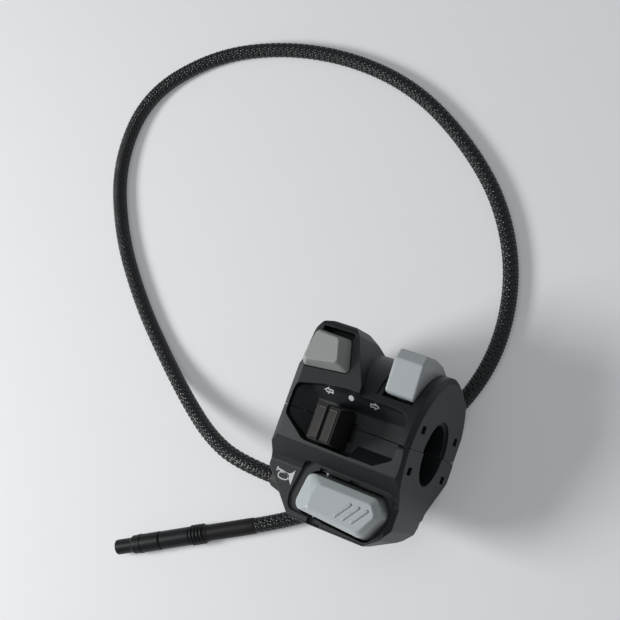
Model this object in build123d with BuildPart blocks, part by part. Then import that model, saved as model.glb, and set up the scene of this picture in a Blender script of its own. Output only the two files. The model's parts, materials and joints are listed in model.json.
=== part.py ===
"""Left-hand handlebar switch cluster of a light electric motorbike, in millimetres.

The bar runs along X. +X points to the end of the case where the bar bore is seen, +Y to the
high-beam key and +Z to the rider's side of the case. The origin is the middle of the bar bore.
The cluster lies on its back, on the feet of its two end walls, at Z = -rest_height.
"""
import math
import os

from build123d import *

os.makedirs("parts", exist_ok=True)

# Driving dimensions
bar_diameter = 22.2        # handlebar
case_width = 50.0          # along the bar
barrel_radius = 28.0       # round body about the bar
rest_height = 26.5         # bar axis above the surface
ear_top = 32.6             # top of the ear above the bar axis
ear_front = 28.4           # front face of the ear
chin_bottom = 36.6         # lowest edge below the bar axis
deck_front = 18.0          # deck that carries the horn button
chin_back = 12.4           # back of the chin behind the bar axis
dish_floor = 20.0          # floor of the thumb dish
case_wall = 2.2
end_wall = 3.0             # end walls, which the feet belong to
cord_diameter = 6.0

# Gaps and small shared values
seam_gap = 0.2             # between the two case halves
run_gap = 0.3              # round each moving piece
seat_gap = 0.1             # round each fixed piece in its pocket
overrun = 2.0              # every cut passes its surface by this
edge_round = 0.8           # usual rounding of a moulded edge
corner_round = 1.6         # usual rounding of an outline's corners

half_width = case_width / 2
bar_radius = bar_diameter / 2
half_seam = seam_gap / 2
face_up = Plane.XY
across = Plane.YZ


def spread(shares, x_size, y_size):
    """Points given as shares of two sizes."""
    return [(x * x_size, y * y_size) for x, y in shares]


def outline(points, radius):
    """A closed outline whose corners all have one radius."""
    with BuildSketch() as shape:
        with BuildLine():
            Polyline(*points, close=True)
        make_face()
        if radius > 0:
            fillet(shape.vertices(), radius)
    return shape.sketch


def round_bar(start_plane, radius, length):
    """A round bar that starts on a plane and runs along its normal."""
    with BuildPart() as bar:
        with BuildSketch(start_plane):
            Circle(radius)
        extrude(amount=length)
    return bar.part


def block(low, high):
    """A box between two corners."""
    middle = (Vector(*low) + Vector(*high)) / 2
    size = Vector(*high) - Vector(*low)
    with BuildPart() as shape:
        with Locations(middle):
            Box(size.X, size.Y, size.Z)
    return shape.part


def leaf_spring(side_points, sheet, width, plane):
    """A strip bent along a side view, centred on a plane across its width."""
    with BuildPart() as strip:
        with BuildSketch(plane):
            with BuildLine():
                line = Polyline(*side_points)
                offset(line, amount=sheet / 2, side=Side.BOTH)
            make_face()
        extrude(amount=width / 2, both=True)
    return strip.part


# Thumb dish, cut from both case halves: its outline, its valley and its rounded ends
dish_outline_shares = [
    (-0.88, 0.29), (-0.88, -0.09), (-0.52, -0.34), (0.55, -0.36), (0.84, -0.20), (0.84, 0.36),
    (0.30, 0.44), (-0.10, 0.42), (-0.46, 0.38),
]
valley = [
    (-0.37 * barrel_radius, 1.05 * barrel_radius),
    (-0.345 * barrel_radius, dish_floor),
    (0.20 * barrel_radius, dish_floor),
    (0.36 * barrel_radius, 0.84 * barrel_radius),
    (0.45 * barrel_radius, 1.05 * barrel_radius),
]
# The lower side of the dish rises gently beside the knob, and so does its left end
dish_ramp = [
    (-0.19 * barrel_radius, dish_floor),
    (-0.386 * barrel_radius, 0.98 * barrel_radius),
    (-0.50 * barrel_radius, 0.98 * barrel_radius),
    (-0.50 * barrel_radius, dish_floor),
]
dish_left_ramp = [
    (-0.58 * half_width, dish_floor),
    (-0.92 * half_width, 0.89 * barrel_radius),
    (-1.10 * half_width, 0.89 * barrel_radius),
    (-1.10 * half_width, dish_floor),
]
dish_corner = 3.6
valley_corner = 1.6
slide_travel = 3.6
slider_x = -4.1            # knob at rest
knob_half_length = 4.35
knob_half_height = 0.225 * barrel_radius
knob_flare = 0.6
knob_room = 0.55           # between the knob's upper side and the dish's upper slope
slider_y = 0.20 * barrel_radius - knob_room - knob_flare - knob_half_height
stem_half_length = 2.5
stem_half_height = 3.0
ramp_left = slider_x + slide_travel + knob_half_length + knob_flare + 2 * run_gap

with BuildPart() as dish:
    with BuildSketch(face_up.offset(dish_floor)):
        add(outline(spread(dish_outline_shares, half_width, barrel_radius), dish_corner))
    extrude(amount=barrel_radius - dish_floor + 2 * overrun)
    with BuildSketch(across.offset(-half_width)):
        add(outline(valley, valley_corner))
    extrude(amount=case_width, mode=Mode.INTERSECT)
    with BuildSketch(across.offset(ramp_left)):
        add(outline(dish_ramp, 0))
    extrude(amount=case_width, mode=Mode.SUBTRACT)
    with BuildSketch(Plane.XZ):
        add(outline(dish_left_ramp, 0))
    extrude(amount=barrel_radius, both=True, mode=Mode.SUBTRACT)

# Window in the floor of the dish and the sliding shutter behind it
window_left = slider_x - stem_half_length - slide_travel - run_gap
window_right = slider_x + stem_half_length + slide_travel + run_gap
window_half_height = stem_half_height + run_gap
floor_sheet = 1.2
shutter_sheet = 1.2
shutter_lap = 0.6          # shutter still covers the window by this at its stops
shutter_top = dish_floor - floor_sheet - run_gap
shutter_bottom = shutter_top - shutter_sheet
shutter_left = window_left - slide_travel - shutter_lap
shutter_right = window_right + slide_travel + shutter_lap
shutter_half_height = window_half_height + 1.4 * floor_sheet
tray_floor = bar_radius + 0.8 * case_wall
tray_half_height = shutter_half_height + run_gap + floor_sheet
tray_left = shutter_left - slide_travel - run_gap
tray_right = shutter_right + slide_travel + run_gap

# Bore, feet and the hollow back that a cable can pass through
passage_room = 1.0
passage_roof = -rest_height + cord_diameter + passage_room
bore_lip = 1.3             # wider mouth in the upper half
bore_lip_depth = 1.0
end_round = 1.0
end_bevel = 1.8            # flat all round the front of the end face
# Seen from above, the front corner of the left end is cut off by a flat
barrel_end = [
    (-half_width, -rest_height),
    (-half_width, 0.82 * barrel_radius),
    (-0.82 * half_width, 1.02 * barrel_radius),
    (half_width + overrun, 1.02 * barrel_radius),
    (half_width + overrun, -rest_height),
]

with BuildPart() as barrel:
    with BuildSketch(across.offset(-half_width)):
        Circle(barrel_radius)
        with Locations((0, barrel_radius - rest_height)):
            Rectangle(2 * barrel_radius, 2 * barrel_radius, mode=Mode.INTERSECT)
    extrude(amount=case_width)
    fillet(barrel.edges().group_by(Axis.X)[0], end_round)
    fillet(barrel.edges().group_by(Axis.X)[-1], end_round)
    with BuildSketch(Plane.XZ):
        add(outline(barrel_end, 0))
    extrude(amount=2 * barrel_radius, both=True, mode=Mode.INTERSECT)

# Tongues on the end walls of the lower half lie in grooves of the upper half
tongue_inset = 1.0
tongue_sheet = 1.3
tongue_rise = 1.6


def tongues(room):
    """Both tongues, or their grooves when there is room round them."""
    with BuildPart() as pair:
        for start in (tongue_inset - half_width, half_width - tongue_inset - tongue_sheet):
            with BuildSketch(across.offset(start - room)):
                Circle(barrel_radius - tongue_inset + room)
            extrude(amount=tongue_sheet + 2 * room)
        with BuildSketch(Plane.XZ.offset(edge_round)):
            add(outline(barrel_end, 0))
            offset(amount=room - tongue_inset, kind=Kind.INTERSECTION)
        extrude(amount=-(edge_round + tongue_rise + room), mode=Mode.INTERSECT)
        with BuildSketch(across.offset(-half_width)):
            Circle(bar_radius + bore_lip + tongue_inset)
        extrude(amount=case_width, mode=Mode.SUBTRACT)
    return pair.part


# Clamp screws behind the bar, from the lower half into brass inserts in the upper half
screw_x = 15.0
screw_z = -15.6
screw_radius = 2.0
screw_head_radius = 3.4
screw_head_height = 4.0
screw_boss_radius = 5.2
screw_socket = 1.5
insert_radius = 3.0
insert_length = 8.0
insert_depth = 2.0
screw_grip = 9.0           # from the seam to the seat of the head

# Rectangular sockets round the bore in the end face
socket_y = 7.3
socket_z = 19.4
socket_height = 2.8
socket_width = 4.0
socket_depth = 2.0

# Ear with the well of the high-beam key
ear_outline_shares = [
    (-1.0, 0.0), (-0.985, 0.32), (-0.945, 0.52), (-0.87, 0.83), (-0.77, 0.965), (-0.63, 1.0),
    (-0.29, 1.0), (-0.20, 0.93), (-0.06, 0.68), (0.08, 0.44), (0.12, 0.0),
]
ear_side_shares = [(0.0, 0.1), (0.0, 1.0), (1.0, 0.985), (1.0, 0.5), (0.80, -0.16), (0.4, -0.1)]
ear_end_shares = [(-1.0, -0.9), (-1.0, 1.0), (0.8, 1.0), (0.8, -0.9)]
ear_corner = 2.6
ear_left_round = 3.4
key_base_shares = [(-0.872, 0.450), (-0.150, 0.512), (-0.276, 0.852), (-0.776, 0.866)]
key_waist_shares = [(-0.845, 0.475), (-0.215, 0.545), (-0.325, 0.840), (-0.755, 0.855)]
key_top_shares = [(-0.800, 0.505), (-0.290, 0.572), (-0.385, 0.825), (-0.728, 0.835)]
well_head_shares = [(-0.752, 0.84), (-0.27, 0.84), (-0.236, 0.925), (-0.735, 0.925)]
key_top = 33.2
key_waist = 31.0
key_skirt = 22.6
key_corner = 1.5
key_travel = 1.8
key_stem_radius = 2.6
well_floor = key_skirt - key_travel - 2 * run_gap
switch_low = (-17.5, 17.6, 9.0)
switch_high = (-6.5, 27.0, 17.6)
key_stem_length = key_skirt - switch_high[2] - key_travel - run_gap

key_centre_x = sum(x for x, y in key_base_shares) / len(key_base_shares) * half_width
key_centre_y = sum(y for x, y in key_base_shares) / len(key_base_shares) * ear_top

# Pass trigger: hinged below its face, its wing wraps over the top of the body
trigger_margin = 5.2       # from the end face
trigger_width = 11.1
trigger_right = half_width - trigger_margin
trigger_left = trigger_right - trigger_width
trigger_depth = 1.8        # channel that the trigger lies in
trigger_seat = barrel_radius - trigger_depth
rib_width = 1.4            # rib of the case beside the channel
rib_slot = 0.5
trigger_side_shares = [
    (0.560, 0.870), (0.975, 0.918), (1.105, 0.826), (1.122, 0.52), (1.09, 0.20), (1.02, -0.02),
    (0.85, -0.02), (0.50, 0.72),
]
trigger_seat_from = -3.0   # degrees from the top of the body round to the rider's side
trigger_seat_to = 61.0
trigger_corner = 1.1
trigger_pin_y = 0.600 * barrel_radius
trigger_pin_z = 0.585 * barrel_radius
trigger_pin_radius = 1.2
trigger_lug_radius = 2.8
trigger_lug_inset = 2.8
trigger_lug_left = trigger_left + trigger_lug_inset
trigger_lug_right = trigger_right - trigger_lug_inset
trigger_toe_length = 8.2
trigger_toe_width = 2.4
trigger_toe_end = trigger_pin_z - trigger_toe_length
trigger_travel = 8.0       # degrees
trigger_press = trigger_toe_length * math.tan(math.radians(trigger_travel))
trigger_switch_front = trigger_pin_y + trigger_toe_width / 2 + trigger_press + run_gap
trigger_switch_drop = 1.6      # below the toe's end
trigger_switch_height = 4.2
trigger_switch_depth = 3.5
trigger_switch_low = (
    trigger_lug_left + 2 * seat_gap, trigger_switch_front, trigger_toe_end - trigger_switch_drop,
)
trigger_switch_high = (
    trigger_lug_right - 2 * seat_gap,
    trigger_switch_front + trigger_switch_depth,
    trigger_switch_low[2] + trigger_switch_height,
)
trigger_pin_angle = math.degrees(math.atan2(trigger_pin_z, trigger_pin_y))
trigger_lean = math.sin(math.radians(trigger_seat_to - trigger_pin_angle))
trigger_dip = math.hypot(trigger_pin_y, trigger_pin_z) * trigger_lean * math.radians(trigger_travel)

# Horn button: a hollow rocker in a pocket of the deck, on a pin near its left end
horn_top_shares = [
    (-0.316, -0.522), (0.744, -0.533), (0.904, -0.667), (0.720, -0.930), (-0.408, -0.878),
]
horn_panel_shares = [
    (-0.104, -0.601), (0.700, -0.601), (0.800, -0.694), (0.640, -0.885), (-0.196, -0.834),
]
horn_pocket_shares = [
    (-0.475, -0.430), (0.915, -0.442), (0.930, -0.800), (0.740, -0.955), (-0.520, -0.925),
    (-0.565, -0.790),
]
horn_corner = 3.0
horn_panel_corner = 1.8
horn_top = 23.8
horn_bevel = 1.9           # fall from the top panel to the shoulder round it
horn_step = 0.9            # shallow step round the pocket
horn_flare = 0.8           # the skirt is wider than the top by this all round
horn_skirt = 12.6
horn_wall = 1.5
horn_roof = 2.0
horn_play = 0.5
horn_travel = 3.5          # degrees
horn_sill = 10.4           # below this the cavity keeps a full wall
horn_end_shares = [(-0.50, 0.4), (-0.50, 0.80), (-0.16, 1.0), (1.0, 1.0), (1.0, 0.4)]
horn_pin_x = -0.18 * half_width
horn_pin_z = 13.2
horn_pin_radius = 1.0
horn_post_x = 0.52 * half_width
horn_post_y = -0.721 * chin_bottom
horn_post_radius = 2.0
notch_places_shares = [(-0.184, -0.478), (0.288, -0.489)]
notch_length = 3.6
notch_width = 1.3
drain_width = 5.0
drain_depth = 1.8
groove_count = 3
groove_length = 7.6
groove_width = 0.9
groove_depth = 0.45
groove_pitch = 3.2
groove_lean = 53.0         # degrees from the bar's direction
groove_x = 0.478 * half_width
groove_y = -0.743 * chin_bottom

# Chin with the circuit board
chin_side = [
    (0.0, -rest_height),
    (-0.29 * barrel_radius, -rest_height),
    (-0.735 * barrel_radius, -1.07 * chin_back),
    (-0.727 * chin_bottom, -chin_back),
    (-0.822 * chin_bottom, -0.81 * chin_back),
    (-0.99 * chin_bottom, 0.62 * deck_front),
    (-chin_bottom, deck_front),
    (-0.535 * chin_bottom, deck_front),
    (-0.47 * chin_bottom, 1.073 * deck_front),
    (-0.393 * barrel_radius, 0.918 * barrel_radius),
    (0.0, barrel_radius),
]
chin_front_shares = [
    (-1.0, 0.0), (-1.0, 0.60), (-0.47, 1.0), (0.68, 1.0), (0.90, 0.89), (1.0, 0.775), (1.0, 0.0),
]
chin_corner = 1.4
cavity_floor = -8.4
board_top = 0.0
board_sheet = 1.6
board_low = (-0.32 * half_width, -0.814 * chin_bottom)
board_high = (0.68 * half_width, -0.530 * chin_bottom)
board_boss_radius = 1.9
board_screw_radius = 0.9
board_head_radius = 1.5
horn_switch_size = 6.0
horn_switch_height = 5.4
horn_nub_height = 1.1
horn_post_gap = (horn_post_x - horn_pin_x) * math.tan(math.radians(horn_travel)) + 2 * seat_gap
horn_post_end = board_top + horn_switch_height + horn_nub_height + horn_post_gap
board_screw_grip = 4.0
board_screw_length = board_sheet + board_screw_grip

# Gland in the left wall of the chin
gland_y = -26.8
gland_z = -3.0
gland_radius = 3.9
gland_flange_radius = 5.0
gland_flange = 1.6
gland_recess = 0.6         # seat of the flange, in from the chin's left face
gland_hold = 11.4          # length inside the wall
gland_reach = 6.1          # from the seat to the tip
gland_boss_left = half_width - gland_recess
gland_boss_radius = 5.4
gland_inner = gland_boss_left - gland_hold
gland_tip = gland_boss_left + gland_reach

# Cord and connector
cord_radius = cord_diameter / 2
shrink_radius = 3.2
shrink_length = 21.5
collar_radius = 4.0
collar_length = 5.9
tail_radius = 3.6
tail_length = 13.7
nut_radius = 3.7
nut_length = 12.9
shell_radius = 3.0
shell_length = 7.3
insert_face_radius = 2.3

# Route of the cord: from the gland in a wide loop over the top, under the hollow back and on
cord_route = [
    (-30.5, -26.8, -3.0), (-46.5, -26.8, -3.0), (-64.5, -22.6, -9.5), (-84.0, -13.4, -18.3),
    (-105.0, 0.8, -23.5), (-125.6, 19.0, -23.5), (-146.5, 43.3, -23.5), (-161.0, 73.0, -23.5),
    (-159.3, 105.1, -23.5), (-134.6, 128.5, -23.5), (-104.4, 139.0, -23.5), (-72.2, 141.2, -23.5),
    (-40.6, 135.0, -23.5), (-12.5, 119.0, -23.5), (11.2, 97.3, -23.5), (25.9, 68.3, -23.5),
    (27.6, 35.7, -23.5), (13.4, 5.6, -23.5), (-1.6, -21.4, -23.5), (-25.3, -40.5, -22.5),
    (-40.2, -48.6, -22.5),
]

# Round body, clamped in two halves
with BuildPart() as feet_hollow:
    with BuildSketch(across.offset(end_wall - half_width)):
        with Locations((0, passage_roof - barrel_radius)):
            Rectangle(2 * barrel_radius, 2 * barrel_radius)
    extrude(amount=case_width - 2 * end_wall)

bore = round_bar(across.offset(-half_width - overrun), bar_radius, case_width + 2 * overrun)
lip = round_bar(across.offset(half_width - bore_lip_depth), bar_radius + bore_lip, bore_lip_depth + overrun)
tray_room = block(
    (tray_left - seat_gap, slider_y - tray_half_height - seat_gap, tray_floor),
    (tray_right + seat_gap, slider_y + tray_half_height + seat_gap, dish_floor - floor_sheet),
)
window = block(
    (window_left, slider_y - window_half_height, shutter_bottom),
    (window_right, slider_y + window_half_height, dish_floor + overrun),
)
upper_side = block(
    (-half_width - overrun, half_seam, -barrel_radius - overrun),
    (half_width + overrun, 2 * barrel_radius, 2 * barrel_radius),
)
lower_side = block(
    (-half_width - overrun, -2 * barrel_radius, -barrel_radius - overrun),
    (half_width + overrun, -half_seam, 2 * barrel_radius),
)

with BuildPart() as sockets:
    with BuildSketch(across.offset(half_width - socket_depth)):
        with GridLocations(2 * socket_y, 2 * socket_z, 2, 2):
            Rectangle(socket_height, socket_width)
    extrude(amount=socket_depth + overrun)

with BuildPart() as ear:
    with BuildSketch(face_up.offset(-barrel_radius / 3)):
        add(outline(spread(ear_outline_shares, half_width, ear_top), corner_round))
    extrude(amount=ear_front + barrel_radius / 3)
    with BuildSketch(across.offset(-half_width)):
        add(outline(spread(ear_side_shares, ear_top, ear_front), ear_corner))
    extrude(amount=case_width, mode=Mode.INTERSECT)
    with BuildSketch(Plane.XZ):
        add(outline(spread(ear_end_shares, half_width, ear_front), ear_left_round))
    extrude(amount=-2 * ear_top, mode=Mode.INTERSECT)
    with BuildSketch(Plane.XZ):
        add(outline(barrel_end, 0))
    extrude(amount=-2 * ear_top, mode=Mode.INTERSECT)

with BuildPart() as well:
    with BuildSketch(face_up.offset(well_floor)):
        add(outline(spread(key_base_shares, half_width, ear_top), key_corner))
        offset(amount=run_gap, kind=Kind.ARC)
        add(outline(spread(well_head_shares, half_width, ear_top), edge_round))
    extrude(amount=ear_front - well_floor + overrun)

stem_hole = round_bar(
    Plane((key_centre_x, key_centre_y, switch_high[2] - overrun)),
    key_stem_radius + run_gap,
    well_floor - switch_high[2] + 2 * overrun,
)
switch_room = block(
    tuple(value - seat_gap for value in switch_low),
    tuple(value + seat_gap for value in switch_high),
)

# Channel, pocket and pin hole of the pass trigger
def sector(inner_radius, from_angle, to_angle):
    """A slice of the barrel's end view outside one radius."""
    with BuildSketch() as slice_shape:
        with BuildLine():
            start = PolarLine((0, 0), 2 * barrel_radius, from_angle)
            end = PolarLine((0, 0), 2 * barrel_radius, to_angle)
            Line(start @ 1, end @ 1)
        make_face()
        Circle(inner_radius, mode=Mode.SUBTRACT)
    return slice_shape.sketch


channel_left = trigger_left - run_gap
with BuildPart() as trigger_room:
    with BuildSketch(across.offset(channel_left)):
        add(sector(trigger_seat, trigger_seat_from, trigger_seat_to))
        add(sector(trigger_seat - trigger_dip - seat_gap, trigger_pin_angle, trigger_seat_to))
    extrude(amount=trigger_right + run_gap - channel_left)
    with BuildSketch(across.offset(channel_left - rib_width - rib_slot)):
        add(sector(trigger_seat, trigger_seat_from, trigger_seat_to))
    extrude(amount=rib_slot)
    with BuildSketch(across.offset(trigger_lug_left - run_gap)):
        with Locations((trigger_pin_y, trigger_pin_z)):
            Circle(trigger_lug_radius + run_gap)
        with BuildLine():
            Polyline(
                (trigger_pin_y - trigger_lug_radius - run_gap, trigger_pin_z),
                (trigger_pin_y - trigger_toe_width / 2 - run_gap, trigger_toe_end - run_gap),
                (trigger_switch_low[1], trigger_toe_end - run_gap),
                (trigger_switch_low[1], trigger_pin_z),
                (trigger_pin_y + trigger_lug_radius + run_gap, barrel_radius),
                (trigger_pin_y - trigger_lug_radius - run_gap, barrel_radius),
                close=True,
            )
        make_face()
    extrude(amount=trigger_lug_right - trigger_lug_left + 2 * run_gap)
trigger_switch_room = block(
    (trigger_lug_left - run_gap, trigger_switch_low[1] - seat_gap, trigger_switch_low[2] - seat_gap),
    (trigger_lug_right + run_gap, trigger_switch_high[1] + seat_gap, trigger_switch_high[2] + seat_gap),
)
trigger_pin_left = trigger_lug_left - case_wall
trigger_pin_length = trigger_lug_right - trigger_lug_left + 2 * case_wall
trigger_pin_plane = Plane((trigger_pin_left, trigger_pin_y, trigger_pin_z), z_dir=(1, 0, 0))
trigger_pin_hole = round_bar(trigger_pin_plane, trigger_pin_radius + seat_gap / 2, trigger_pin_length)

# Bevel round the front of the end face: what lies outside a tapered end of the case's section
chin_section = outline(chin_side, chin_corner)
bevel_low = -chin_back - overrun
with BuildPart() as end_taper:
    with BuildSketch(across.offset(half_width - end_bevel)) as section_start:
        add(outline(chin_side, 0))
        Circle(barrel_radius)
    with BuildSketch(across.offset(half_width)):
        add(section_start.sketch_local)
        offset(amount=-end_bevel, kind=Kind.INTERSECTION)
    loft(ruled=True)
with BuildPart() as end_cut:
    add(
        block(
            (half_width - end_bevel, -2 * barrel_radius, bevel_low),
            (half_width + overrun, 2 * barrel_radius, 2 * barrel_radius),
        )
    )
    add(end_taper.part, mode=Mode.SUBTRACT)

with BuildPart() as upper_case:
    add(barrel.part & upper_side)
    add(ear.part)
    for cut in (feet_hollow.part, bore, lip, dish.part, tray_room, window, sockets.part):
        add(cut, mode=Mode.SUBTRACT)
    for cut in (tongues(seat_gap), end_cut.part):
        add(cut, mode=Mode.SUBTRACT)
    for cut in (well.part, stem_hole, switch_room):
        add(cut, mode=Mode.SUBTRACT)
    for cut in (trigger_room.part, trigger_switch_room, trigger_pin_hole):
        add(cut, mode=Mode.SUBTRACT)
    for side in (-screw_x, screw_x):
        with BuildSketch(Plane((side, half_seam, screw_z), z_dir=(0, 1, 0))):
            Circle(insert_radius + seat_gap / 2)
        extrude(amount=insert_depth + insert_length + seat_gap, mode=Mode.SUBTRACT)
upper_case.part.label = "upper_case"
export_step(upper_case.part, "parts/upper_case.step")
print("upper_case", round(upper_case.part.volume), len(upper_case.part.solids()), upper_case.part.is_valid)

# Lower half: chin with the horn pocket, the cavity of the circuit board and the gland's hole
with BuildPart() as chin:
    with BuildSketch(face_up.offset(-barrel_radius)):
        add(outline(spread(chin_front_shares, half_width, -chin_bottom), corner_round))
    extrude(amount=2 * barrel_radius)
    with BuildSketch(across.offset(-half_width)):
        add(chin_section)
    extrude(amount=case_width, mode=Mode.INTERSECT)
    with BuildSketch(Plane.XZ):
        add(outline(barrel_end, 0))
    extrude(amount=2 * barrel_radius, mode=Mode.INTERSECT)

horn_base_points = spread(horn_top_shares, half_width, chin_bottom)
horn_notches = spread(notch_places_shares, half_width, chin_bottom)
with BuildPart() as horn_pocket:
    with BuildSketch(face_up.offset(deck_front - horn_step)):
        add(outline(spread(horn_pocket_shares, half_width, chin_bottom), horn_corner))
    extrude(amount=barrel_radius)
    with BuildSketch(face_up.offset(horn_sill)):
        add(outline(horn_base_points, horn_corner))
        offset(amount=horn_flare + horn_play, kind=Kind.ARC)
    extrude(amount=deck_front - horn_sill)
    with BuildSketch(face_up.offset(deck_front)):
        with Locations(*horn_notches):
            Rectangle(notch_length, notch_width)
    extrude(amount=-(horn_step + drain_depth))
    with BuildSketch(face_up.offset(deck_front)):
        with Locations((horn_pin_x + drain_width / 2, horn_top_shares[-1][1] * chin_bottom - overrun)):
            Rectangle(drain_width, 2 * overrun)
    extrude(amount=-drain_depth)
with BuildPart() as board_cavity:
    with BuildSketch(face_up.offset(cavity_floor)):
        add(outline(horn_base_points, horn_corner))
        offset(amount=horn_flare + horn_play, kind=Kind.ARC)
    extrude(amount=horn_sill - cavity_floor)
    with BuildSketch(across.offset(-half_width)):
        add(chin_section)
        offset(amount=-case_wall, kind=Kind.INTERSECTION)
    extrude(amount=case_width, mode=Mode.INTERSECT)
horn_rib_bottom = horn_pin_z - 2 * horn_pin_radius
horn_pin_low = case_wall / 2 - chin_bottom
horn_pin_length = horn_pocket_shares[0][1] * chin_bottom + case_wall - horn_pin_low
horn_pin_plane = Plane((horn_pin_x, horn_pin_low, horn_pin_z), z_dir=(0, 1, 0))
horn_pin_hole = round_bar(horn_pin_plane, horn_pin_radius + seat_gap / 2, horn_pin_length)
gland_plane = Plane((-gland_inner, gland_y, gland_z), z_dir=(-1, 0, 0))
gland_hole = round_bar(gland_plane.offset(-gland_inner), gland_radius + seat_gap / 2, gland_tip)
gland_seat = round_bar(
    gland_plane.offset(gland_boss_left - gland_inner), gland_flange_radius + seat_gap, gland_tip,
)
gland_boss = round_bar(gland_plane, gland_boss_radius, gland_boss_left - gland_inner)
board_boss_right = horn_post_x - horn_switch_size / 2 - board_boss_radius - run_gap
board_boss_places = [
    (x, y)
    for x in (board_low[0] + board_boss_radius, board_boss_right)
    for y in (board_low[1] + board_boss_radius, board_high[1] - board_boss_radius)
]

with BuildPart() as lower_profile:
    with BuildSketch(across.offset(-half_width)):
        add(chin_section)
    extrude(amount=case_width)

with BuildPart() as lower_case:
    add(barrel.part & lower_side & lower_profile.part)
    add(chin.part & lower_side)
    add(gland_boss)
    add(tongues(0))
    for cut in (feet_hollow.part, dish.part, tray_room, window, sockets.part, end_cut.part):
        add(cut, mode=Mode.SUBTRACT)
    for side in (-screw_x, screw_x):
        with BuildSketch(Plane((side, -half_seam, screw_z), z_dir=(0, -1, 0))):
            Circle(screw_boss_radius)
        extrude(amount=screw_grip)
    add(bore, mode=Mode.SUBTRACT)
    for cut in (horn_pocket.part, board_cavity.part, horn_pin_hole, gland_hole, gland_seat):
        add(cut, mode=Mode.SUBTRACT)
    for side in (-screw_x, screw_x):
        with BuildSketch(Plane((side, -half_seam, screw_z), z_dir=(0, -1, 0))):
            Circle(screw_radius + seat_gap)
        extrude(amount=screw_grip, mode=Mode.SUBTRACT)
        with BuildSketch(Plane((side, -half_seam - screw_grip, screw_z), z_dir=(0, -1, 0))):
            Circle(screw_head_radius + run_gap)
        extrude(amount=barrel_radius, mode=Mode.SUBTRACT)
    with BuildSketch(face_up.offset(cavity_floor)):
        with Locations(*board_boss_places):
            Circle(board_boss_radius)
    extrude(amount=board_top - board_sheet - cavity_floor)
    with BuildSketch(face_up.offset(cavity_floor)):
        with Locations(*board_boss_places):
            Circle(board_screw_radius)
    extrude(amount=board_top - board_sheet - cavity_floor, mode=Mode.SUBTRACT)
lower_case.part.label = "lower_case"
export_step(lower_case.part, "parts/lower_case.step")
print("lower_case", round(lower_case.part.volume), len(lower_case.part.solids()), lower_case.part.is_valid)

# Screws and inserts of the clamp, one pair behind the bar
with BuildPart() as clamp_screws:
    for side in (-screw_x, screw_x):
        with BuildSketch(Plane((side, -half_seam - screw_grip, screw_z), z_dir=(0, -1, 0))):
            Circle(screw_head_radius)
        extrude(amount=screw_head_height)
        with BuildSketch(Plane((side, -half_seam - screw_grip, screw_z), z_dir=(0, 1, 0))):
            Circle(screw_radius)
        extrude(amount=screw_grip + insert_depth + insert_length)
    fillet(clamp_screws.edges().group_by(Axis.Y)[0], edge_round / 2)
    for side in (-screw_x, screw_x):
        head_end = -half_seam - screw_grip - screw_head_height
        with BuildSketch(Plane((side, head_end, screw_z), z_dir=(0, 1, 0))):
            RegularPolygon(screw_socket, 6, major_radius=False)
        extrude(amount=screw_head_height / 2, mode=Mode.SUBTRACT)
clamp_screws.part.label = "clamp_screws"
export_step(clamp_screws.part, "parts/clamp_screws.step")

with BuildPart() as thread_inserts:
    for side in (-screw_x, screw_x):
        with BuildSketch(Plane((side, half_seam + insert_depth, screw_z), z_dir=(0, 1, 0))):
            Circle(insert_radius)
            Circle(screw_radius + seat_gap / 2, mode=Mode.SUBTRACT)
        extrude(amount=insert_length)
        for turn in (1, 3):
            groove_start = half_seam + insert_depth + turn * insert_length / 4
            with BuildSketch(Plane((side, groove_start, screw_z), z_dir=(0, 1, 0))):
                Circle(insert_radius + overrun)
                Circle(insert_radius - seat_gap * 3, mode=Mode.SUBTRACT)
            extrude(amount=insert_length / 8, mode=Mode.SUBTRACT)
thread_inserts.part.label = "thread_inserts"
export_step(thread_inserts.part, "parts/thread_inserts.step")

# High-beam key: drafted cap on a stem, with a shallow hollow for the thumb
with BuildPart() as beam_key:
    with BuildSketch(face_up.offset(key_skirt)):
        add(outline(spread(key_base_shares, half_width, ear_top), key_corner))
    with BuildSketch(face_up.offset(ear_front)):
        add(outline(spread(key_base_shares, half_width, ear_top), key_corner))
    with BuildSketch(face_up.offset(key_waist)):
        add(outline(spread(key_waist_shares, half_width, ear_top), key_corner))
    with BuildSketch(face_up.offset(key_top)):
        add(outline(spread(key_top_shares, half_width, ear_top), key_corner))
    loft(ruled=True)
    fillet(beam_key.edges().group_by(Axis.Z)[-1], edge_round / 2)
    with BuildSketch(Plane((key_centre_x, key_centre_y, key_skirt), z_dir=(0, 0, -1))):
        Circle(key_stem_radius)
    extrude(amount=key_stem_length)
beam_key.part.label = "beam_key"
export_step(beam_key.part, "parts/beam_key.step")

with BuildPart() as beam_switch:
    add(block(switch_low, switch_high))
    fillet(beam_switch.edges().filter_by(Axis.Z), edge_round)
    with BuildSketch(face_up.offset(switch_low[2])):
        with Locations((key_centre_x, key_centre_y)):
            Rectangle(2 * overrun, barrel_radius)
    extrude(amount=edge_round, mode=Mode.SUBTRACT)
beam_switch.part.label = "beam_switch"
export_step(beam_switch.part, "parts/beam_switch.step")

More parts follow.
